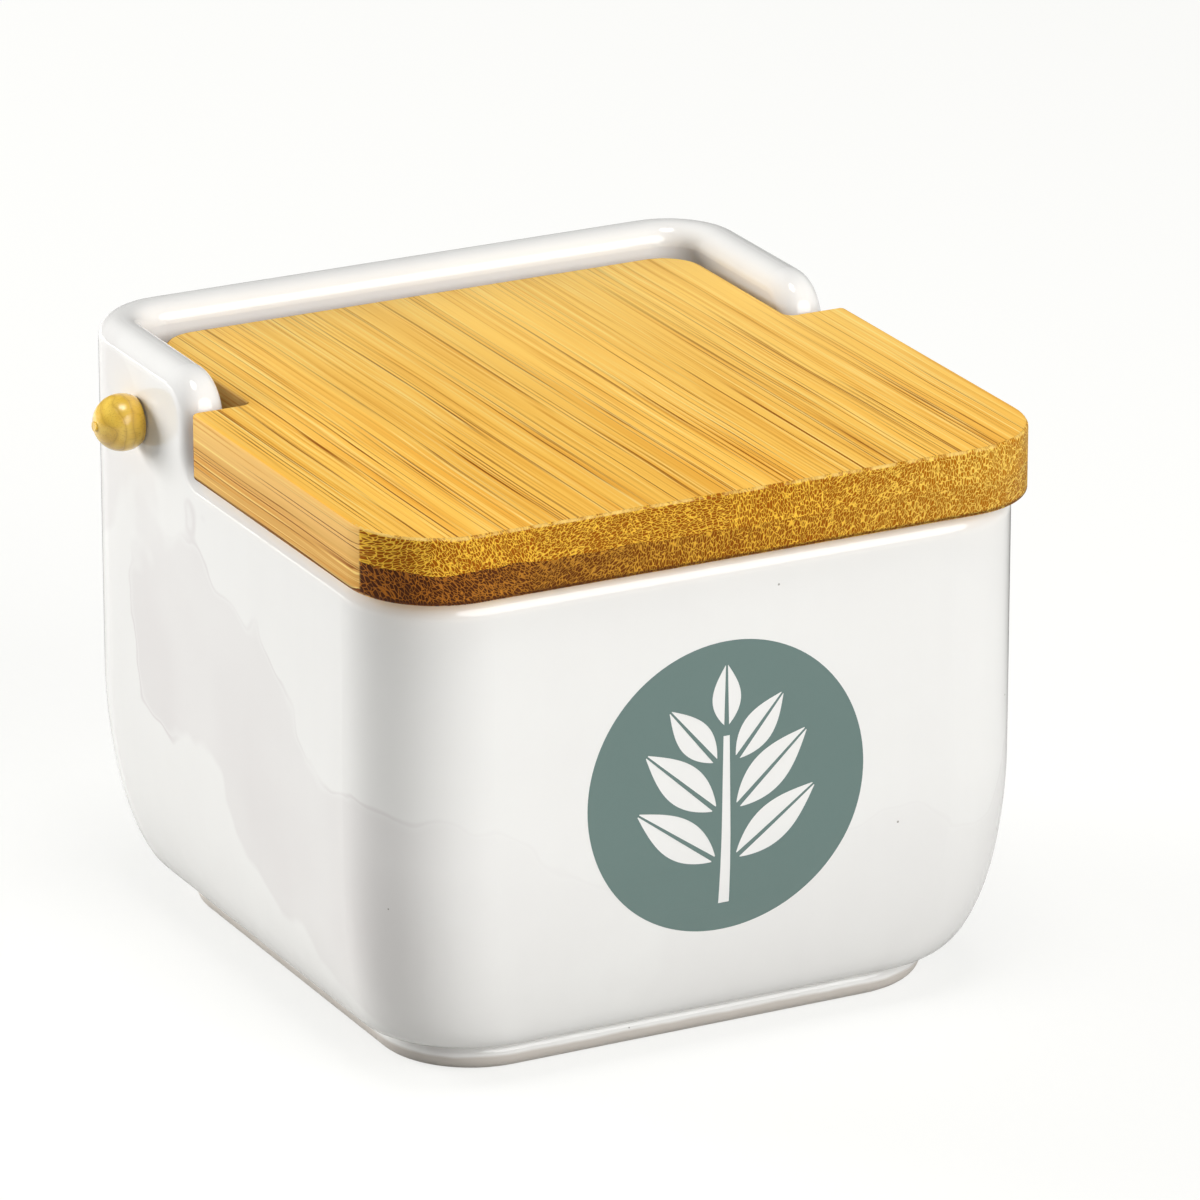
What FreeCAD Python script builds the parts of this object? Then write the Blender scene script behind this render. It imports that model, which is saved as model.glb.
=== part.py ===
import FreeCAD, Part
import math
import os

from FreeCAD import Vector

# Salt box: a glazed ceramic box with a bamboo lid that swings up on two turned wooden pegs.
# Millimetres. The origin is in the middle of the foot's underside, +Z is up and the front faces -Y.

# Ceramic box
box_width = 115.0
box_depth = 117.4
front_corner_radius = 17.5
back_corner_radius = 13.4
wall_thickness = 7.5
floor_thickness = 8.0
rim_height = 83.0                 # low rim under the lid, above the table
rim_rounding = 3.4
rim_rounding_limit_share = 0.48   # of the wall, so that both edges of the rim keep their rounding
ear_rise = 15.2                   # back wall and ears, above the low rim
ear_length = 44.3                 # from the back of the box to the front of an ear
ear_nose_radius = 8.0             # front top corner of an ear, seen from the side
ear_root_radius = 3.0             # hollow where an ear runs down into the low rim
bowl_height = 35.0                # height over which the wall curves in above the foot
bowl_inset = 8.6                  # how far it has curved in at the bottom
bowl_sections = 6
foot_height = 5.0
foot_inset = 10.2                 # outermost line of the foot, in from the box's side
foot_corner_radius = 16.0
foot_ring_width = 6.0
foot_roll_height = 4.8
foot_roll_rounding = 2.3          # the outside of the foot is rolled from its top to its bottom
foot_neck_inset = 1.5             # of the neck between the roll and the floor, in from the roll
foot_inner_rounding = 1.2

# Bamboo lid
lid_thickness = 11.0
lid_seat_gap = 0.2                # between the lid's underside and the low rim
lid_side_overhang = 0.8
lid_front_overhang = 1.9
lid_corner_radius = 15.2
lid_edge_rounding = 0.6
wing_clearance = 3.3              # from the back edge of a wing to the ear behind it
wing_corner_radius = 1.0
notch_radius = 1.5
tongue_side_clearance = 1.9
tongue_back_clearance = 3.1
tongue_corner_radius = 7.0

# Pivot pegs
peg_from_back = 25.4              # from the back of the box to the pegs' axis
peg_above_underside = 3.0         # from the lid's underside to the pegs' axis
shank_diameter = 3.6
shank_running_clearance = 0.08
shank_depth_in_lid = 16.0
shank_tip_chamfer = 0.5
hole_end_clearance = 0.5
head_diameter = 9.3
head_length = 7.1
head_seat_diameter = 7.8
head_ear_gap = 0.3
head_crown_share = 0.35           # where along its length the head is thickest
nib_diameter = 1.6
nib_height = 0.3

# Working values
cut_overrun = 5.0
match_tolerance = 0.01

# Levels and lines that the pieces share
side_x = box_width / 2
front_y = -box_depth / 2
back_y = box_depth / 2
bowl_top_z = foot_height + bowl_height
ear_top_z = rim_height + ear_rise
ear_front_y = back_y - ear_length
inner_side_x = side_x - wall_thickness
lid_underside_z = rim_height + lid_seat_gap
lid_top_z = lid_underside_z + lid_thickness
tongue_side_x = inner_side_x - tongue_side_clearance
peg_y = back_y - peg_from_back
peg_z = lid_underside_z + peg_above_underside
shank_radius = shank_diameter / 2


def rounded_outline(corners, level):
    """Closed flat outline through corners (x, y, radius), each rounded with a tangent arc."""
    points = [Vector(x, y, level) for x, y, radius in corners]
    arcs = []
    for index, (x, y, radius) in enumerate(corners):
        corner = points[index]
        to_last = (points[index - 1] - corner).normalize()
        to_next = (points[(index + 1) % len(points)] - corner).normalize()
        half_angle = to_last.getAngle(to_next) / 2
        reach = radius / math.tan(half_angle)
        to_arc = radius / math.sin(half_angle) - radius
        middle = corner + (to_last + to_next).normalize() * to_arc
        arcs.append(Part.Arc(corner + to_last * reach, middle, corner + to_next * reach))
    edges = []
    for arc, next_arc in zip(arcs, arcs[1:] + arcs[:1]):
        edges.append(arc.toShape())
        edges.append(Part.LineSegment(arc.EndPoint, next_arc.StartPoint).toShape())
    return Part.Wire(edges)


def prism(corners, bottom, top):
    """Upright solid on a rounded outline."""
    return Part.Face(rounded_outline(corners, bottom)).extrude(Vector(0, 0, top - bottom))


def box_corners(inset, front_radius, back_radius):
    """Corners of the box's outline, moved in by an inset on all four sides."""
    x = side_x - inset
    front = front_y + inset
    back = back_y - inset
    right = [(x, front, front_radius), (x, back, back_radius)]
    left = [(-x, back, back_radius), (-x, front, front_radius)]
    return right + left


def outer_corners(inset=0):
    return box_corners(inset, front_corner_radius, back_corner_radius)


def inner_corners(inset=0):
    front_radius = front_corner_radius - wall_thickness
    back_radius = back_corner_radius - wall_thickness
    return box_corners(wall_thickness + inset, front_radius, back_radius)


def bowl(corners_at, bottom):
    """Solid whose wall curves in along a quarter ellipse, from upright down to a flat bottom."""
    sections = []
    for step in range(bowl_sections + 1):
        turn = math.pi / 2 * step / bowl_sections
        inset = bowl_inset * (1 - math.cos(turn))
        level = bowl_top_z - (bowl_top_z - bottom) * math.sin(turn)
        sections.append(rounded_outline(corners_at(inset), level))
    return Part.makeLoft(sections, True)


def side_silhouette():
    """Solid with the outline seen from the side: low rim, hollow root, ear nose and level top."""
    root = Vector(0, ear_front_y - ear_root_radius, rim_height + ear_root_radius)
    nose = Vector(0, ear_front_y + ear_nose_radius, ear_top_z - ear_nose_radius)
    diagonal = Vector(0, 1, -1).normalize()
    far_front = front_y - cut_overrun
    far_back = back_y + cut_overrun
    root_arc = Part.Arc(
        Vector(0, root.y, rim_height),
        root + diagonal * ear_root_radius,
        Vector(0, ear_front_y, root.z),
    )
    nose_arc = Part.Arc(
        Vector(0, ear_front_y, nose.z),
        nose - diagonal * ear_nose_radius,
        Vector(0, nose.y, ear_top_z),
    )
    bottom_front = Vector(0, far_front, bowl_top_z)
    bottom_back = Vector(0, far_back, bowl_top_z)
    rim_front = Vector(0, far_front, rim_height)
    top_back = Vector(0, far_back, ear_top_z)
    outline = Part.Wire([
        Part.LineSegment(bottom_front, rim_front).toShape(),
        Part.LineSegment(rim_front, root_arc.StartPoint).toShape(),
        root_arc.toShape(),
        Part.LineSegment(root_arc.EndPoint, nose_arc.StartPoint).toShape(),
        nose_arc.toShape(),
        Part.LineSegment(nose_arc.EndPoint, top_back).toShape(),
        Part.LineSegment(top_back, bottom_back).toShape(),
        Part.LineSegment(bottom_back, bottom_front).toShape(),
    ])
    reach = side_x + cut_overrun
    face = Part.Face(outline)
    face.translate(Vector(-reach, 0, 0))
    return face.extrude(Vector(2 * reach, 0, 0))


def upper_walls():
    """Upright walls with the low rim, the two ears and the back wall, along one rounded edge."""
    above = ear_top_z + cut_overrun
    outer = prism(outer_corners(), bowl_top_z, above)
    inner = prism(inner_corners(), bowl_top_z - cut_overrun, above)
    walls = side_silhouette().common(outer).cut(inner)
    prism_faces = outer.Faces + inner.Faces
    upright_faces = [face for face in prism_faces if face.BoundBox.ZLength > match_tolerance]
    prism_walls = Part.makeCompound(upright_faces)
    rim_edges = []
    for edge in walls.Edges:
        is_above = all(vertex.Z > rim_height - match_tolerance for vertex in edge.Vertexes)
        middle = edge.valueAt((edge.FirstParameter + edge.LastParameter) / 2)
        if is_above and prism_walls.distToShape(Part.Vertex(middle))[0] < match_tolerance:
            rim_edges.append(edge)
    rounding = min(rim_rounding, wall_thickness * rim_rounding_limit_share)
    return walls.makeFillet(rounding, rim_edges)


def foot_ring():
    """Rolled ring that the box stands on, and the neck that joins it to the floor."""
    neck_inset = foot_inset + foot_neck_inset
    neck_radius = foot_corner_radius - foot_neck_inset
    inner_inset = foot_inset + foot_ring_width
    inner_radius = foot_corner_radius - foot_ring_width
    top = foot_height + floor_thickness / 2
    roll = prism(box_corners(foot_inset, foot_corner_radius, foot_corner_radius), 0, foot_roll_height)
    roll_edges = [edge for edge in roll.Edges if edge.BoundBox.ZLength < match_tolerance]
    roll = roll.makeFillet(foot_roll_rounding, roll_edges)
    neck = prism(box_corners(neck_inset, neck_radius, neck_radius), foot_roll_height / 2, top)
    inner = prism(box_corners(inner_inset, inner_radius, inner_radius), 0, top)
    ring = roll.fuse(neck).cut(inner)
    lower_edges = [edge for edge in ring.Edges if edge.BoundBox.ZMax < match_tolerance]
    hole_edges = [edge for edge in lower_edges if inner.distToShape(edge)[0] < match_tolerance]
    return ring.makeFillet(foot_inner_rounding, hole_edges)


def peg_cylinder(radius, from_x, to_x):
    """Cylinder on the pegs' axis between two places across the box."""
    start = Vector(min(from_x, to_x), peg_y, peg_z)
    return Part.makeCylinder(radius, abs(to_x - from_x), start, Vector(1, 0, 0))


def ceramic_box():
    """Salt well, low rim, ears and foot ring as one casting, with a peg hole through each ear."""
    lower = bowl(outer_corners, foot_height).cut(bowl(inner_corners, foot_height + floor_thickness))
    body = upper_walls().fuse([lower, foot_ring()])
    hole_radius = shank_radius + shank_running_clearance
    reach = side_x + cut_overrun
    return body.cut(peg_cylinder(hole_radius, -reach, reach)).removeSplitter()


def bamboo_lid():
    """Board with a wide part over the low rim and a tongue between the ears, drilled for the pegs."""
    wing_x = side_x + lid_side_overhang
    lid_front_y = front_y - lid_front_overhang
    wing_back_y = ear_front_y - wing_clearance
    tongue_back_y = back_y - wall_thickness - tongue_back_clearance
    right_half = [
        (wing_x, lid_front_y, lid_corner_radius),
        (wing_x, wing_back_y, wing_corner_radius),
        (tongue_side_x, wing_back_y, notch_radius),
        (tongue_side_x, tongue_back_y, tongue_corner_radius),
    ]
    left_half = [(-x, y, radius) for x, y, radius in reversed(right_half)]
    board = prism(right_half + left_half, lid_underside_z, lid_top_z)
    level_edges = [edge for edge in board.Edges if edge.BoundBox.ZLength < match_tolerance]
    board = board.makeFillet(lid_edge_rounding, level_edges)
    hole_end_x = tongue_side_x - shank_depth_in_lid - hole_end_clearance
    for side in (-1, 1):
        hole_mouth_x = tongue_side_x + cut_overrun
        board = board.cut(peg_cylinder(shank_radius, side * hole_end_x, side * hole_mouth_x))
    return board


def right_pivot_peg():
    """Peg turned in one piece: chamfered shank, ball head and the small nib that the lathe leaves."""
    tip_x = tongue_side_x - shank_depth_in_lid
    seat_x = side_x + head_ear_gap
    head_end_x = seat_x + head_length
    nib_radius = nib_diameter / 2

    def at(x, radius):
        return Vector(x, peg_y, peg_z + radius)

    ball = Part.Arc(
        at(seat_x, head_seat_diameter / 2),
        at(seat_x + head_length * head_crown_share, head_diameter / 2),
        at(head_end_x, nib_radius),
    )
    shank = Part.makePolygon([
        at(tip_x, 0),
        at(tip_x, shank_radius - shank_tip_chamfer),
        at(tip_x + shank_tip_chamfer, shank_radius),
        at(seat_x, shank_radius),
        ball.StartPoint,
    ])
    nib = Part.makePolygon([
        ball.EndPoint,
        at(head_end_x + nib_height, nib_radius),
        at(head_end_x + nib_height, 0),
        at(tip_x, 0),
    ])
    profile = Part.Face(Part.Wire(shank.Edges + [ball.toShape()] + nib.Edges))
    return profile.revolve(at(0, 0), Vector(1, 0, 0), 360)


right_peg = right_pivot_peg()
pieces = {
    "ceramic_box": ceramic_box(),
    "bamboo_lid": bamboo_lid(),
    "left_pivot_peg": right_peg.mirror(Vector(0, 0, 0), Vector(1, 0, 0)),
    "right_pivot_peg": right_peg,
}

os.makedirs("parts", exist_ok=True)
for name, shape in pieces.items():
    shape.exportStep(f"parts/{name}.step")
    print(name, "solids", len(shape.Solids), "valid", shape.isValid(), "volume", round(shape.Volume))
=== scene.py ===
import math

import bmesh
import bpy
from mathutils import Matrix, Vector
from mathutils.bvhtree import BVHTree


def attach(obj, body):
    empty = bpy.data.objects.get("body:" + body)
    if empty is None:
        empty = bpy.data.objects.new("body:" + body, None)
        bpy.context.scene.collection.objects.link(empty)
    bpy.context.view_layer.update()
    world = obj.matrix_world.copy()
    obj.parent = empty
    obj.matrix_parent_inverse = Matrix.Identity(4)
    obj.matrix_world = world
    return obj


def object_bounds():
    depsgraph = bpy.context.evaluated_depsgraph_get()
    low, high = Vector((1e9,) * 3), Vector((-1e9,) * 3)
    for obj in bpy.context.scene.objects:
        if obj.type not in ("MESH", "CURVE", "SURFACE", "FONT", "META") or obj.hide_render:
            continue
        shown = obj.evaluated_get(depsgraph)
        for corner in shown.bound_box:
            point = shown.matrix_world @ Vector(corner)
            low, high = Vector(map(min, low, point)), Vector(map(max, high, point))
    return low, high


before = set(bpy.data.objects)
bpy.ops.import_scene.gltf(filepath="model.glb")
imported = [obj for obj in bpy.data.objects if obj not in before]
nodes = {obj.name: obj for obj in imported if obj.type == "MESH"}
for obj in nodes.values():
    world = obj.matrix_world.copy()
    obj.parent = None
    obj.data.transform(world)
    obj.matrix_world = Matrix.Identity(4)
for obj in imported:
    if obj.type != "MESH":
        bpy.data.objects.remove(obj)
cadLow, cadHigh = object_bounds()

scene = bpy.context.scene
scene.view_settings.view_transform = "Standard"
mm = 0.001
toMm = (1000, 1000, 1000)
print("frame loaded:", ", ".join(sorted(nodes)))


# small helpers for node trees

def setInputs(tree, made, inputs):
    for key, value in inputs.items():
        if isinstance(value, bpy.types.NodeSocket):
            tree.links.new(value, made.inputs[key])
        else:
            made.inputs[key].default_value = value


def addNode(tree, kind, inputs=None, **settings):
    made = tree.nodes.new("ShaderNode" + kind)
    for name, value in settings.items():
        setattr(made, name, value)
    setInputs(tree, made, inputs or {})
    return made


def maths(tree, operation, first, second=0.0, third=0.0):
    return addNode(tree, "Math", {0: first, 1: second, 2: third}, operation=operation).outputs[0]


def times(tree, first, *others):
    for other in others:
        first = maths(tree, "MULTIPLY", first, other)
    return first


def plusTimes(tree, base, value, amount):
    return maths(tree, "MULTIPLY_ADD", value, amount, base)


def fadeBetween(tree, value, low, high, toLow=0.0, toHigh=1.0):
    inputs = {"Value": value, "From Min": low, "From Max": high, "To Min": toLow, "To Max": toHigh}
    return addNode(tree, "MapRange", inputs, interpolation_type="SMOOTHSTEP").outputs["Result"]


def mixColour(tree, factor, first, second, blend="MIX"):
    made = addNode(tree, "Mix", {0: factor, 6: first, 7: second}, data_type="RGBA", blend_type=blend)
    return made.outputs[2]


def noiseAt(tree, vector, scale, detail=2.0, roughness=0.5):
    inputs = {"Vector": vector, "Scale": scale, "Detail": detail, "Roughness": roughness}
    return addNode(tree, "TexNoise", inputs).outputs["Fac"]


def stretched(tree, vector, stretch):
    return addNode(tree, "VectorMath", {0: vector, 1: stretch}, operation="MULTIPLY").outputs[0]


def newMaterial(name, settings):
    made = bpy.data.materials.new(name)
    made.use_nodes = True
    tree = made.node_tree
    shader = tree.nodes["Principled BSDF"]
    setInputs(tree, shader, settings)
    return made, tree, shader


def newGroup(name, inputs, outputs):
    made = bpy.data.node_groups.new(name, "ShaderNodeTree")
    for way, labels in (("INPUT", inputs), ("OUTPUT", outputs)):
        for label in labels:
            made.interface.new_socket(label, in_out=way, socket_type="NodeSocketFloat")
    return made, made.nodes.new("NodeGroupInput"), made.nodes.new("NodeGroupOutput")


def useGroup(tree, group, inputs):
    return addNode(tree, "Group", inputs, node_tree=group)


def linear(red, green, blue):
    # screen colour to the linear values that shaders take
    def one(value):
        value /= 255
        return value / 12.92 if value <= 0.04045 else ((value + 0.055) / 1.055) ** 2.4
    return one(red), one(green), one(blue), 1.0


# camera where the photograph was taken from

photoCamera = {
    "target": (4.932, -6.325, 58.02),   # mm, what the middle of the picture looks at
    "distance": 1436.85,                # mm
    "azimuth": -27.241,                 # degrees, negative is from the left
    "elevation": 20.137,
    "lens": 270.0,
    "sensor": 36.0,
}


def awayFrom(azimuth, elevation):
    turn, rise = math.radians(azimuth), math.radians(elevation)
    return Vector((math.sin(turn) * math.cos(rise), -math.cos(turn) * math.cos(rise), math.sin(rise)))


def addCamera(spec):
    data = bpy.data.cameras.new("photoCamera")
    data.lens = spec["lens"]
    data.sensor_width = spec["sensor"]
    camera = bpy.data.objects.new("photoCamera", data)
    scene.collection.objects.link(camera)
    back = awayFrom(spec["azimuth"], spec["elevation"])
    camera.location = (Vector(spec["target"]) + back * spec["distance"]) * mm
    camera.rotation_euler = (math.radians(90 - spec["elevation"]), 0, math.radians(spec["azimuth"]))
    scene.camera = camera


addCamera(photoCamera)
print("camera set")


# skin of the glaze: ripples, mottling, painted shade and reflections in soft patches and a few specks,
# shared by the box and its print

skinSpec = {
    "rippleScale": 34.0,
    "peelScale": 420.0,
    "lean": (0.5, -0.864),               # how the bands of painted shade slant over the depth and the height
    "bandPlace": 0.041,                   # metres along that slant
    "bandTurn": 70.0,
    "bandShare": 0.25,
    "drift": (30.0, 3.0, 0.45),          # scale, detail and roughness
    "cloudScale": 26.0,
    "patchFrom": (0.575, 0.62),               # a patch starts and is full here
    "patchCloud": (0.34, 0.66, 0.4, 0.75),
    "markAt": 0.59,                      # darker rim round a patch
    "markWidth": (0.014, 0.0),
    "markCloud": (0.42, 0.56),           # it comes and goes
    "fainter": (-0.062, -0.02, 0.65, 1.0),   # towards the top and the front
    "sides": (0.3, 1.0, 0.2, 1.0),       # strongest on the side walls
    "uprightStretch": (1.0, 1.0, 0.08),
    "uprightScale": 150.0,
    "mottle": (60.0, 3.0),
    "mottleShare": 0.5,
    "speckScale": 95.0,
    "speckChance": 0.8,
    "speckEdge": (0.022, 0.014),
}


def makeGlazeSkin(spec):
    group, given, result = newGroup("glazeSkin", ("Ripple", "Peel"), ("Height", "Mottle", "PaintedReflection", "Speck"))
    source = addNode(group, "TexCoord")
    place = source.outputs["Object"]
    axes = addNode(group, "SeparateXYZ", {0: place})
    facing = addNode(group, "SeparateXYZ", {0: source.outputs["Normal"]})

    # painted shade and reflections: slanting bands that gather in soft darker patches with a darker rim
    onDepth, onHeight = spec["lean"]
    slant = plusTimes(group, times(group, axes.outputs["Z"], onHeight), axes.outputs["Y"], onDepth)
    band = maths(group, "COSINE", times(group, maths(group, "ADD", slant, spec["bandPlace"]), spec["bandTurn"]))
    drift = plusTimes(group, noiseAt(group, place, *spec["drift"]), band, spec["bandShare"])
    cloudy = noiseAt(group, place, spec["cloudScale"])
    body = fadeBetween(group, drift, *spec["patchFrom"])
    body = times(group, body, fadeBetween(group, cloudy, *spec["patchCloud"]))
    offMark = maths(group, "ABSOLUTE", maths(group, "SUBTRACT", drift, spec["markAt"]))
    mark = fadeBetween(group, offMark, *spec["markWidth"])
    mark = times(group, mark, fadeBetween(group, cloudy, *spec["markCloud"]))
    sideways = maths(group, "ABSOLUTE", facing.outputs["X"])
    deep = fadeBetween(group, slant, *spec["fainter"])
    deep = times(group, deep, fadeBetween(group, sideways, *spec["sides"]))
    paintedReflection = times(group, maths(group, "MAXIMUM", body, mark), deep)

    # slow ripples with a fine peel on them
    wave = times(group, noiseAt(group, place, spec["rippleScale"], 1.0), given.outputs["Ripple"])
    height = plusTimes(group, wave, noiseAt(group, place, spec["peelScale"], 1.0), given.outputs["Peel"])

    # upright runs and clouds in equal shares
    upright = noiseAt(group, stretched(group, place, spec["uprightStretch"]), spec["uprightScale"])
    clouds = times(group, noiseAt(group, place, *spec["mottle"]), spec["mottleShare"])
    mottle = plusTimes(group, clouds, upright, spec["mottleShare"])

    # a dot in a few of the cells
    cells = addNode(group, "TexVoronoi", {"Vector": place, "Scale": spec["speckScale"]})
    chance = addNode(group, "SeparateColor", {"Color": cells.outputs["Color"]}).outputs[0]
    rare = maths(group, "GREATER_THAN", chance, spec["speckChance"])
    speck = times(group, fadeBetween(group, cells.outputs["Distance"], *spec["speckEdge"]), rare)
    setInputs(group, result, {"Height": height, "Mottle": mottle, "PaintedReflection": paintedReflection, "Speck": speck})
    return group


glazeSkin = makeGlazeSkin(skinSpec)


# white glaze on the box

glazeLook = {
    "white": (0.86, 0.855, 0.83, 1),
    "shade": (0.81, 0.80, 0.78, 1),      # where the glaze is a little thinner
    "paintedReflection": (0.70, 0.668, 0.658, 1),     # painted shade and reflections, in soft darker patches
    "speck": (0.35, 0.33, 0.30, 1),
    "biscuitAndShade": linear(200, 193, 185),    # bare clay on the foot, reaching up its lower half as painted shade
    "bareAndShadeHeight": 0.0023,                # metres
    "bareEdge": (0.001, 0.0004),         # the glaze ends between these, above that height
    "bareRagged": 0.001,
    "bareRoughness": 0.35,               # added to the glaze's own
    "roughness": 0.05,
    "ior": 1.5,
    "ripple": 0.00007,
    "peel": 0.0000015,
}


def makeGlaze(look):
    made, tree, shader = newMaterial("whiteGlaze", {"Roughness": look["roughness"], "IOR": look["ior"]})
    skin = useGroup(tree, glazeSkin, {"Ripple": look["ripple"], "Peel": look["peel"]})
    place = addNode(tree, "TexCoord").outputs["Object"]
    height = addNode(tree, "SeparateXYZ", {0: place}).outputs["Z"]
    # bare clay, set high enough to paint the shade on the foot's lower half
    ragged = plusTimes(tree, height, skin.outputs["Mottle"], look["bareRagged"])
    bareAndShade = fadeBetween(tree, ragged, *(look["bareAndShadeHeight"] + rise for rise in look["bareEdge"]))
    colour = mixColour(tree, skin.outputs["Mottle"], look["white"], look["shade"])
    # painted shade and reflections laid over the glaze
    colour = mixColour(tree, skin.outputs["PaintedReflection"], colour, look["paintedReflection"])
    colour = mixColour(tree, skin.outputs["Speck"], colour, look["speck"])
    colour = mixColour(tree, bareAndShade, colour, look["biscuitAndShade"])
    rough = plusTimes(tree, look["roughness"], bareAndShade, look["bareRoughness"])
    bump = addNode(tree, "Bump", {"Height": skin.outputs["Height"], "Distance": 1.0})
    setInputs(tree, shader, {"Base Color": colour, "Roughness": rough, "Normal": bump.outputs["Normal"]})
    return made


nodes["ceramic_box"].material_slots[0].material = makeGlaze(glazeLook)
print("ceramic box glazed")


# bamboo board: bundles of fibre run front to back, so they are streaks on the faces and a net on the ends

bambooLook = {
    "stripWidth": 16.6,          # mm
    "stripStart": 200.0,         # mm, well to the left of the board
    "glueHeight": 88.4,          # mm, where the two layers of strips meet
    "seamWander": 2.4,           # mm, up and down in all
    "stripTone": (0.94, 1.04),
    "bundle": 0.86,              # mm between fibre bundles
    "flatness": 2.3,             # bundles are wider than they are high
    "stretch": 0.02,             # how slowly they change along the grain
    "bundleTurn": 3.0,           # radians, from strip to strip
    "bundleBend": (1.6, 0.2, 1.6),
    "bundleRandom": 0.9,
    "bundleWall": (0.22, 0.02, 0.01),    # varying part, least and full place of a wall
    "lines": (0.31, 85.0),       # mm, width and length of the dark lines
    "ribs": (0.36, 50.0),        # mm, the same for the fine fibre
    "rowShift": 7.0,             # rows of lines start at different places
    "lineAcross": (0.44, 0.1),
    "lineEnds": (0.5, 0.25),
    "sway": 1.5,                 # mm
    "jitter": 1.6,               # mm
    "crowding": 0.34,            # dark lines come in crowds
    "sunkLines": 0.16,           # and more of them low on the sides
    "darkFrom": (0.9, 1.06),
    "streakFrom": (0.32, 0.6, 0.3, 1.0),
    "paleFrom": (0.55, 1.0),
    "deepFrom": (0.5, 0.0),
    "lowSide": (92.0, 86.0),     # mm, the side faces are browner below
    "towardsSheen": 0.5,             # painted sheen: paler towards the back, and half as much to the right
    "paintedSheen": (-60.0, 75.0, 0.0, 0.4),
    "linesUnderSheen": (-40.0, 70.0, 1.0, 0.4),
    "burnt": (-56.0, 24.0, 1.0, 0.1),    # mm, the lower strips brown towards the left
    "bleached": (4.0, 64.0),             # mm, the ends pale towards the right
    "sideFrom": (0.65, 0.75),            # how far a face turns to count as a side, an end or a rounding
    "endFrom": (0.2, 0.24),
    "roundFrom": (0.2, 0.5),
    "edgeHighlightFrom": (0.35, 0.65),
    "sideMix": 0.7,
    "lowMix": 0.75,
    "paleMix": 0.85,
    "deepMix": 0.6,
    "lineMix": 0.95,
    "gold": linear(255, 200, 90),
    "light": linear(255, 226, 140),
    "streak": linear(238, 170, 60),
    "rib": linear(210, 138, 36),
    "line": linear(138, 66, 2),
    "side": linear(238, 192, 122),
    "sideLow": linear(184, 132, 74),
    "endWall": linear(255, 202, 66),
    "endCore": linear(158, 86, 0),
    "burntWall": linear(176, 106, 34),
    "burntCore": linear(70, 32, 4),
    "paleWall": linear(255, 218, 104),
    "paleCore": linear(188, 118, 10),
    # painted highlight along the upper rounding of the ends, drawn ragged
    "edgeHighlightColour": linear(240, 200, 112),
    "gapShade": linear(74, 36, 8),         # painted shade: thin dark line along the underside's edge, where the lid sits on the rim
    "gapShadeHeight": (84.2, 83.6),        # mm
    "gapShadeFacing": (-0.8, -0.3, 0.0, 0.8),   # none on faces that look down
    "endRelief": 0.00009,                # metres
    "ribRelief": 0.00001,
    "lineRelief": -0.00004,
    "bump": 0.8,
    "roughness": 0.5,
    "roughFrom": (0.3, 0.7),
    "roughSpread": (0.12, -0.05),
    "specular": 0.12,
}


def grainLines(tree, look, size, across, along):
    # one value per short line of fibre, and a mask that is strongest along its middle
    row = maths(tree, "DIVIDE", across, size[0])
    number = maths(tree, "FLOOR", row)
    start = addNode(tree, "TexWhiteNoise", {"W": number}, noise_dimensions="1D").outputs["Value"]
    piece = plusTimes(tree, maths(tree, "DIVIDE", along, size[1]), start, look["rowShift"])
    cell = addNode(tree, "CombineXYZ", {"X": number, "Y": maths(tree, "FLOOR", piece)}).outputs[0]
    value = addNode(tree, "TexWhiteNoise", {"Vector": cell}, noise_dimensions="2D").outputs["Value"]
    middle = maths(tree, "ABSOLUTE", maths(tree, "SUBTRACT", maths(tree, "FRACT", row), 0.5))
    ends = maths(tree, "ABSOLUTE", maths(tree, "SUBTRACT", maths(tree, "FRACT", piece), 0.5))
    mask = fadeBetween(tree, middle, *look["lineAcross"])
    mask = times(tree, mask, fadeBetween(tree, ends, *look["lineEnds"]))
    return value, mask


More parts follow.
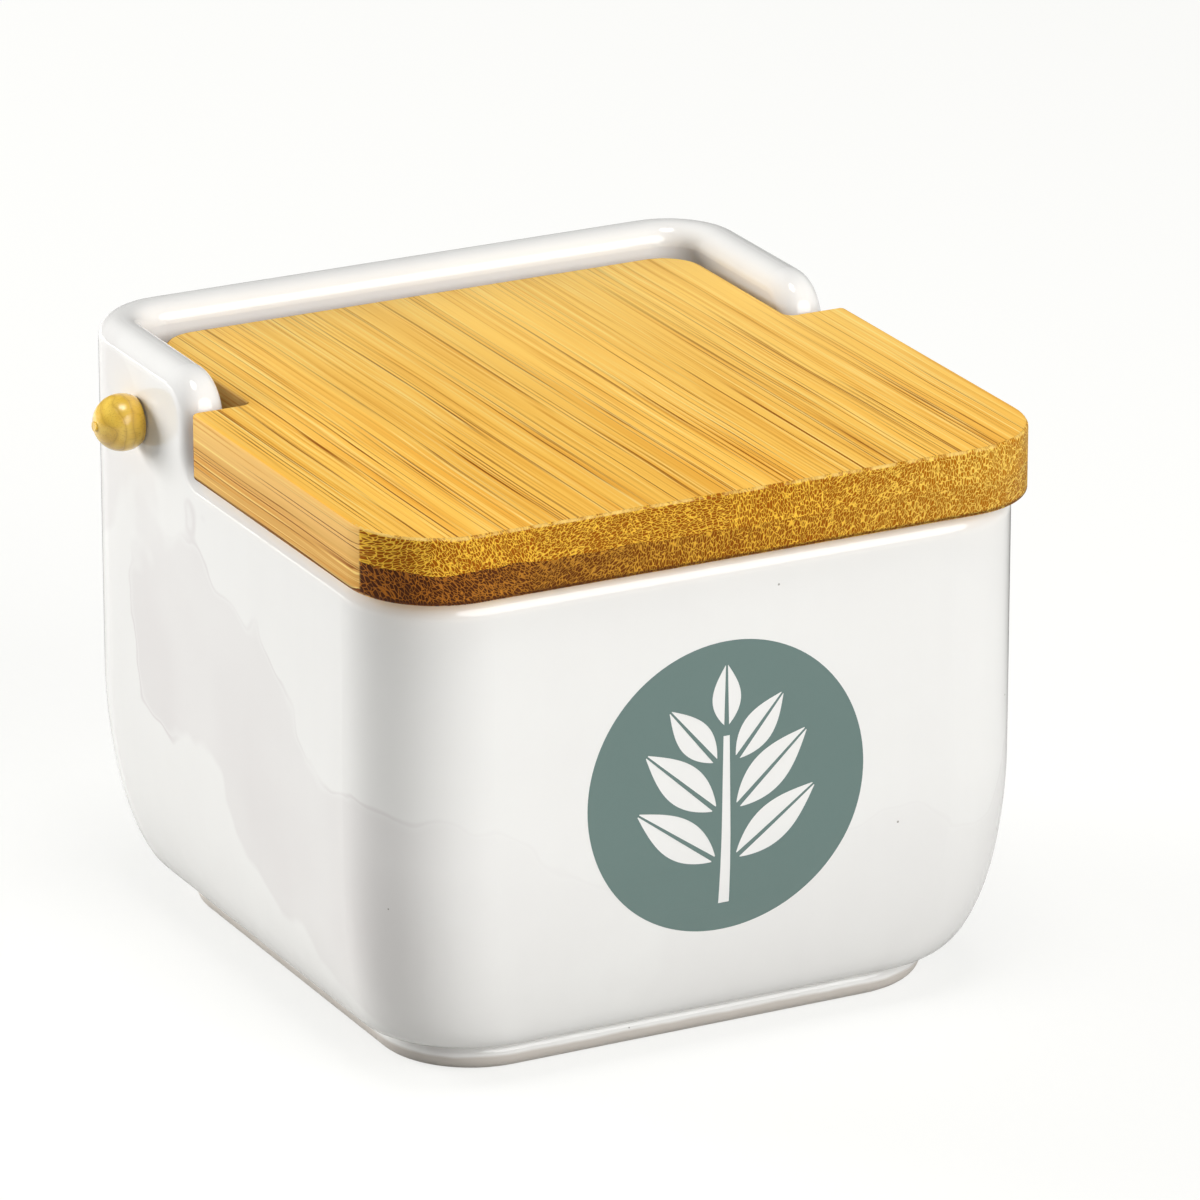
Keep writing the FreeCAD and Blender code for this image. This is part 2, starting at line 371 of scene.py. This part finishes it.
def makeBamboo(look):
    made, tree, shader = newMaterial("bambooBoard", {
        "Roughness": look["roughness"], "Specular IOR Level": look["specular"],
    })
    source = addNode(tree, "TexCoord")
    place = stretched(tree, source.outputs["Object"], toMm)
    split = addNode(tree, "SeparateXYZ", {0: place})
    across, along, up = split.outputs["X"], split.outputs["Y"], split.outputs["Z"]
    facing = addNode(tree, "SeparateXYZ", {0: source.outputs["Normal"]})
    sideTurn = fadeBetween(tree, maths(tree, "ABSOLUTE", facing.outputs["X"]), *look["sideFrom"])
    cutEnd = fadeBetween(tree, maths(tree, "ABSOLUTE", facing.outputs["Y"]), *look["endFrom"])

    def drawn(stretch, detail=2.0, roughness=0.5):
        return noiseAt(tree, stretched(tree, place, stretch), 1.0, detail, roughness)

    # strips side by side in two layers, each with its own tone and its own lie
    fromLeft = maths(tree, "ADD", across, look["stripStart"])
    strip = maths(tree, "FLOOR", maths(tree, "DIVIDE", fromLeft, look["stripWidth"]))
    lowSeam = look["glueHeight"] - look["seamWander"] / 2
    seam = plusTimes(tree, lowSeam, drawn((0.1, 0.01, 0.1)), look["seamWander"])
    upper = maths(tree, "GREATER_THAN", up, seam)
    cell = addNode(tree, "CombineXYZ", {"X": strip, "Y": upper}).outputs[0]
    tone = addNode(tree, "TexWhiteNoise", {"Vector": cell}, noise_dimensions="3D").outputs["Value"]

    # along the grain: ribs, streaks and long dark lines, under a painted sheen towards the back
    sway = times(tree, drawn((0.03, 0.012, 0.03)), look["sway"])
    jitter = times(tree, drawn((0.9, 0.004, 0.9)), look["jitter"])
    flat = addNode(tree, "Mix", {0: sideTurn, 2: across, 3: up}).outputs[0]
    beside = maths(tree, "ADD", maths(tree, "ADD", flat, sway), jitter)
    ribValue, ribMask = grainLines(tree, look, look["ribs"], beside, along)
    lineValue, lineMiddle = grainLines(tree, look, look["lines"], beside, along)
    broad = drawn((0.35, 0.006, 0.35), 3.0, 0.6)
    sunk = times(tree, sideTurn, fadeBetween(tree, up, *look["lowSide"]))
    lean = plusTimes(tree, lineValue, drawn((0.06, 0.01, 0.2)), look["crowding"])
    lean = plusTimes(tree, lean, sunk, look["sunkLines"])
    towardsSheen = plusTimes(tree, along, across, look["towardsSheen"])
    dark = times(tree, fadeBetween(tree, lean, *look["darkFrom"]), lineMiddle)
    # the dark lines fade under the painted sheen
    dark = times(tree, dark, fadeBetween(tree, towardsSheen, *look["linesUnderSheen"]))
    pale = times(tree, ribMask, fadeBetween(tree, ribValue, *look["paleFrom"]))
    deep = times(tree, ribMask, fadeBetween(tree, ribValue, *look["deepFrom"]))
    edge = mixColour(tree, times(tree, sunk, look["lowMix"]), look["side"], look["sideLow"])
    long = mixColour(tree, fadeBetween(tree, broad, *look["streakFrom"]), look["streak"], look["gold"])
    long = mixColour(tree, times(tree, sideTurn, look["sideMix"]), long, edge)
    # painted sheen towards the back right
    long = mixColour(tree, fadeBetween(tree, towardsSheen, *look["paintedSheen"]), long, look["light"])
    long = mixColour(tree, times(tree, pale, look["paleMix"]), long, look["light"])
    long = mixColour(tree, times(tree, deep, look["deepMix"]), long, look["rib"])
    long = mixColour(tree, times(tree, dark, look["lineMix"]), long, look["line"])

    # across the grain: cut bundles of fibre in a net of paler walls
    turned = addNode(tree, "VectorRotate", {
        "Vector": place, "Axis": (0, 1, 0), "Angle": times(tree, tone, look["bundleTurn"]),
    }).outputs[0]
    bendPlace = stretched(tree, place, (0.5, 0.02, 0.5))
    bend = addNode(tree, "TexNoise", {"Vector": bendPlace, "Scale": 1.0}).outputs["Color"]
    squeeze = (1 / look["bundle"], look["stretch"], look["flatness"] / look["bundle"])
    squeezed = addNode(tree, "VectorMath", {
        0: bend, 1: look["bundleBend"], 2: stretched(tree, turned, squeeze),
    }, operation="MULTIPLY_ADD").outputs[0]
    bundles = addNode(tree, "TexVoronoi", {
        "Vector": squeezed, "Scale": 1.0, "Randomness": look["bundleRandom"],
    }, feature="DISTANCE_TO_EDGE").outputs["Distance"]
    patchy = drawn((0.4, 0.01, 0.4))
    varying, least, full = look["bundleWall"]
    wall = fadeBetween(tree, bundles, plusTimes(tree, least, patchy, varying), full)
    burnt = fadeBetween(tree, across, *look["burnt"])
    burnt = times(tree, burnt, maths(tree, "SUBTRACT", 1.0, upper))
    bleached = fadeBetween(tree, across, *look["bleached"])
    core = mixColour(tree, bleached, look["endCore"], look["paleCore"])
    core = mixColour(tree, burnt, core, look["burntCore"])
    fibre = mixColour(tree, bleached, look["endWall"], look["paleWall"])
    fibre = mixColour(tree, burnt, fibre, look["burntWall"])
    end = mixColour(tree, wall, core, fibre)

    # both together, each strip in its own tone, with a painted highlight on the upper rounding of the ends
    # and painted shade along the underside's edge
    colour = mixColour(tree, cutEnd, long, end)
    shift = fadeBetween(tree, tone, 0.0, 1.0, *look["stripTone"])
    grey = addNode(tree, "CombineColor", {0: shift, 1: shift, 2: shift}).outputs[0]
    colour = mixColour(tree, 1.0, colour, grey, "MULTIPLY")
    rounding = fadeBetween(tree, facing.outputs["Z"], *look["roundFrom"])
    # painted highlight on the upper rounding of the ends
    edgeHighlight = times(tree, rounding, cutEnd, fadeBetween(tree, patchy, *look["edgeHighlightFrom"]))
    colour = mixColour(tree, edgeHighlight, colour, look["edgeHighlightColour"])
    # painted shade along the underside's edge
    upright = fadeBetween(tree, facing.outputs["Z"], *look["gapShadeFacing"])
    gapShaded = times(tree, fadeBetween(tree, up, *look["gapShadeHeight"]), upright)
    colour = mixColour(tree, gapShaded, colour, look["gapShade"])

    relief = times(tree, wall, cutEnd, look["endRelief"])
    relief = plusTimes(tree, relief, maths(tree, "SUBTRACT", pale, deep), look["ribRelief"])
    relief = plusTimes(tree, relief, dark, look["lineRelief"])
    bump = addNode(tree, "Bump", {"Height": relief, "Distance": 1.0, "Strength": look["bump"]})
    roughest, smoothest = (look["roughness"] + spread for spread in look["roughSpread"])
    rough = fadeBetween(tree, broad, *look["roughFrom"], roughest, smoothest)
    setInputs(tree, shader, {"Base Color": colour, "Roughness": rough, "Normal": bump.outputs["Normal"]})
    return made


nodes["bamboo_lid"].material_slots[0].material = makeBamboo(bambooLook)
print("bamboo lid finished")


# turned pegs, lacquered

pegLook = {
    "gold": linear(236, 190, 66),
    "light": linear(248, 210, 92),
    "dark": linear(188, 136, 34),
    "line": linear(136, 92, 22),
    "cloudScale": 0.28,
    "cloudFrom": (0.3, 0.7),
    "ringPitch": 0.6,                # rings per mm of the peg's length
    "ringNoise": (0.2, 1.0),
    "ringWander": 2.2,
    "ringHalf": 0.5,
    "ringShade": (0.4, 0.0),
    "ringLine": (0.09, 0.0),
    "hairStretch": (0.35, 5.0, 5.0),
    "hairFrom": (0.5, 0.3),
    "shadeMix": 0.3,
    "lineMix": 0.16,
    "hairMix": 0.35,
    "relief": -0.00003,              # metres
    "roughness": 0.35,
    "specular": 0.2,
    "coatRoughness": 0.22,
}


def makePegWood(look):
    made, tree, shader = newMaterial("lacqueredPeg", {
        "Roughness": look["roughness"], "Specular IOR Level": look["specular"],
        "Coat Weight": 1.0, "Coat Roughness": look["coatRoughness"],
    })
    place = stretched(tree, addNode(tree, "TexCoord").outputs["Object"], toMm)
    lengthways = addNode(tree, "SeparateXYZ", {0: place}).outputs["X"]
    cloud = fadeBetween(tree, noiseAt(tree, place, look["cloudScale"]), *look["cloudFrom"])
    # rings that the lathe leaves, drawn aside by the figure of the wood
    figure = noiseAt(tree, place, *look["ringNoise"])
    level = plusTimes(tree, times(tree, lengthways, look["ringPitch"]), figure, look["ringWander"])
    ring = maths(tree, "PINGPONG", level, look["ringHalf"])
    ringLine = fadeBetween(tree, ring, *look["ringLine"])
    ringShade = fadeBetween(tree, ring, *look["ringShade"])
    hair = noiseAt(tree, stretched(tree, place, look["hairStretch"]), 1.0)
    hair = fadeBetween(tree, hair, *look["hairFrom"])
    colour = mixColour(tree, cloud, look["gold"], look["light"])
    colour = mixColour(tree, times(tree, ringShade, look["shadeMix"]), colour, look["dark"])
    colour = mixColour(tree, times(tree, ringLine, look["lineMix"]), colour, look["line"])
    colour = mixColour(tree, times(tree, hair, look["hairMix"]), colour, look["dark"])
    bump = addNode(tree, "Bump", {"Height": times(tree, ringLine, look["relief"]), "Distance": 1.0})
    setInputs(tree, shader, {"Base Color": colour, "Normal": bump.outputs["Normal"]})
    return made


pegWood = makePegWood(pegLook)
for name in ("left_pivot_peg", "right_pivot_peg"):
    nodes[name].material_slots[0].material = pegWood
print("pegs finished")


# print on the front: a round field with a leafy sprig left white

printSpec = {
    "centre": 45.0,          # mm above the table
    "radius": 24.2,
    "rimSteps": 144,
    "proud": 0.03,           # mm in front of the glaze
    "thickness": 0.08,
    "sliceHeight": 0.8,      # mm, so that it follows the curved wall
    "weld": 0.0005,          # mm
    "standOff": 0.05,        # metres in front of the box, where the rays to the wall start
    "stem": (-19.5, 8.6, 0.95, 0.55),      # bottom, top and half widths there
    "leafGap": 0.75,
    "leafSteps": 28,
    "leafSwell": 0.86,                     # under 1, so that a leaf is widest a little before its middle
    "rib": (0.85, 0.3),                    # width of the rib at the base and at the tip
    "leaves": [              # base, lean, length, half width
        (-12.0, 54, 17.5, 3.3),
        (-3.6, 48, 17.0, 3.3),
        (4.4, 40, 13.0, 2.8),
    ],
    "tip": (10.0, 10.6, 2.5),
    "teal": linear(101, 124, 119),
    "shade": 0.9,            # share of the teal in the darker grains
    "grain": 900.0,
    "grainMix": 0.25,
    "mottleMix": 0.5,
}


def halfLeaf(spec, length, halfWidth, side):
    ribBase, ribTip = spec["rib"]
    outer, inner = [], []
    for step in range(spec["leafSteps"] + 1):
        share = step / spec["leafSteps"]
        wide = halfWidth * math.sin(math.pi * share ** spec["leafSwell"])
        gap = 0.5 * (ribBase + (ribTip - ribBase) * share)
        if wide > gap:
            outer.append((length * share, side * wide))
            inner.append((length * share, side * gap))
    return outer + inner[::-1]


def placed(points, base, lean):
    turn = math.radians(lean)
    along = (math.sin(turn), math.cos(turn))
    beside = (math.cos(turn), -math.sin(turn))
    return [(base[0] + a * along[0] + b * beside[0], base[1] + a * along[1] + b * beside[1])
            for a, b in points]


def sprigOutlines(spec):
    low, high, lowHalf, highHalf = spec["stem"]
    outlines = [[(-lowHalf, low), (lowHalf, low), (highHalf, high), (-highHalf, high)]]
    for base, lean, length, halfWidth in spec["leaves"]:
        for hand in (-1, 1):
            start = (hand * (lowHalf + spec["leafGap"]), base)
            for side in (-1, 1):
                outlines.append(placed(halfLeaf(spec, length, halfWidth, side), start, hand * lean))
    base, length, halfWidth = spec["tip"]
    for side in (-1, 1):
        outlines.append(placed(halfLeaf(spec, length, halfWidth, side), (0, base), 0))
    return outlines


def makePrintMaterial(spec, look):
    made, tree, shader = newMaterial("tealPrint", {"Roughness": look["roughness"], "IOR": look["ior"]})
    skin = useGroup(tree, glazeSkin, {"Ripple": look["ripple"], "Peel": look["peel"]})
    grain = noiseAt(tree, addNode(tree, "TexCoord").outputs["Object"], spec["grain"])
    mottle = times(tree, skin.outputs["Mottle"], spec["mottleMix"])
    mottle = plusTimes(tree, mottle, grain, spec["grainMix"])
    shade = tuple(spec["shade"] * channel for channel in spec["teal"][:3]) + (1,)
    colour = mixColour(tree, mottle, spec["teal"], shade)
    bump = addNode(tree, "Bump", {"Height": skin.outputs["Height"], "Distance": 1.0})
    setInputs(tree, shader, {"Base Color": colour, "Normal": bump.outputs["Normal"]})
    return made


def flatPrint(spec):
    curve = bpy.data.curves.new("printOutline", "CURVE")
    curve.dimensions = "2D"
    curve.fill_mode = "BOTH"
    turns = [2 * math.pi * step / spec["rimSteps"] for step in range(spec["rimSteps"])]
    rim = [(spec["radius"] * math.cos(turn), spec["radius"] * math.sin(turn)) for turn in turns]
    for outline in [rim] + sprigOutlines(spec):
        spline = curve.splines.new("POLY")
        spline.points.add(len(outline) - 1)
        for point, (across, up) in zip(spline.points, outline):
            point.co = (across, up, 0, 1)
        spline.use_cyclic_u = True
    flat = bpy.data.objects.new("printOutline", curve)
    scene.collection.objects.link(flat)
    bpy.context.view_layer.update()
    mesh = bpy.data.meshes.new_from_object(flat.evaluated_get(bpy.context.evaluated_depsgraph_get()))
    bpy.data.objects.remove(flat)
    return mesh


def layOnWall(shape, spec):
    # sliced across first, so that it bends with the wall
    for step in range(1, int(2 * spec["radius"] / spec["sliceHeight"])):
        level = -spec["radius"] + step * spec["sliceHeight"]
        everything = shape.verts[:] + shape.edges[:] + shape.faces[:]
        bmesh.ops.bisect_plane(shape, geom=everything, plane_co=(0, level, 0), plane_no=(0, 1, 0))
    wall = nodes["ceramic_box"].data
    tree = BVHTree.FromPolygons([v.co for v in wall.vertices], [p.vertices[:] for p in wall.polygons])
    for vert in shape.verts:
        start = Vector((vert.co.x * mm, cadLow.y - spec["standOff"], (spec["centre"] + vert.co.y) * mm))
        hit = tree.ray_cast(start, Vector((0, 1, 0)))[0]
        vert.co = hit - Vector((0, spec["proud"] * mm, 0))


def makePrint(spec):
    mesh = flatPrint(spec)
    shape = bmesh.new()
    shape.from_mesh(mesh)
    bmesh.ops.remove_doubles(shape, verts=shape.verts, dist=spec["weld"])
    layOnWall(shape, spec)
    bmesh.ops.recalc_face_normals(shape, faces=shape.faces)
    if sum(face.normal.y * face.calc_area() for face in shape.faces) > 0:
        bmesh.ops.reverse_faces(shape, faces=shape.faces)
    shape.to_mesh(mesh)
    shape.free()
    piece = bpy.data.objects.new("front_print", mesh)
    scene.collection.objects.link(piece)
    thick = piece.modifiers.new("ink", "SOLIDIFY")
    thick.thickness = spec["thickness"] * mm
    thick.offset = -1
    mesh.materials.clear()
    mesh.materials.append(makePrintMaterial(spec, glazeLook))
    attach(piece, "box")


makePrint(printSpec)
print("front print laid on")


# studio: pale floor, soft boxes and a dim room

studio = {
    "floorSize": 12.0,
    "floorSeen": (1.0, 1.0, 0.98, 1),
    "floorBounce": (0.42, 0.42, 0.41, 1),
    "dusk": (0.14, 0.2, 0.0),            # a soft dark place that only reflections show, so edges stand out
    "duskReach": (0.25, 0.1),
    "duskColour": (0.04, 0.04, 0.04, 1),
    "floorGlow": 0.76,
    "room": 0.08,
    "roomColour": (1.0, 0.99, 0.97, 1),
    "aim": (0, 0, 0.05),                 # metres, what the soft boxes point at
    "boxes": [   # name, azimuth, elevation, distance, width, height, watts, mirrored in the glaze
        ("keyBox", 16, 24, 1.7, 1.8, 1.3, 28.2, True),
        ("backBox", -142, 11, 1.7, 1.0, 0.9, 38.0, False),
        ("topBox", -15, 80, 1.5, 0.6, 0.6, 9.5, True),
    ],
}


def makeFloorMaterial(spec):
    made = bpy.data.materials.new("paleFloor")
    made.use_nodes = True
    tree = made.node_tree
    tree.nodes.clear()
    path = addNode(tree, "LightPath")
    seen = path.outputs["Is Camera Ray"]
    mirrored = maths(tree, "MAXIMUM", path.outputs["Is Glossy Ray"], path.outputs["Is Transmission Ray"])
    place = addNode(tree, "TexCoord").outputs["Object"]
    away = addNode(tree, "VectorMath", {0: place, 1: spec["dusk"]}, operation="DISTANCE").outputs["Value"]
    dusk = fadeBetween(tree, away, *spec["duskReach"])
    reflection = mixColour(tree, dusk, spec["floorSeen"], spec["duskColour"])
    colour = mixColour(tree, mirrored, spec["floorBounce"], reflection)
    colour = mixColour(tree, seen, colour, spec["floorSeen"])
    matte = addNode(tree, "BsdfDiffuse", {"Color": colour})
    glow = addNode(tree, "Emission", {"Color": spec["floorSeen"], "Strength": 1.0})
    share = times(tree, seen, spec["floorGlow"])
    both = addNode(tree, "MixShader", {0: share, 1: matte.outputs[0], 2: glow.outputs[0]})
    addNode(tree, "OutputMaterial", {"Surface": both.outputs[0]})
    return made


def addFloor(spec):
    mesh = bpy.data.meshes.new("floor")
    half = spec["floorSize"] / 2
    corners = [(-half, -half, 0), (half, -half, 0), (half, half, 0), (-half, half, 0)]
    mesh.from_pydata(corners, [], [(0, 1, 2, 3)])
    floor = bpy.data.objects.new("floor", mesh)
    scene.collection.objects.link(floor)
    mesh.materials.append(makeFloorMaterial(spec))


def addSoftBox(aim, name, azimuth, elevation, distance, width, height, watts, mirrored):
    data = bpy.data.lights.new(name, "AREA")
    data.shape = "ELLIPSE"
    data.size, data.size_y, data.energy = width, height, watts
    lamp = bpy.data.objects.new(name, data)
    scene.collection.objects.link(lamp)
    away = awayFrom(azimuth, elevation)
    lamp.location = Vector(aim) + away * distance
    lamp.rotation_euler = away.to_track_quat("Z", "Y").to_euler()
    lamp.visible_camera = False
    lamp.visible_glossy = mirrored


def addRoom(spec):
    world = bpy.data.worlds.new("room")
    world.use_nodes = True
    scene.world = world
    back = world.node_tree.nodes["Background"]
    back.inputs["Color"].default_value = spec["roomColour"]
    back.inputs["Strength"].default_value = spec["room"]


addFloor(studio)
addRoom(studio)
for box in studio["boxes"]:
    addSoftBox(studio["aim"], *box)
print("studio lit")
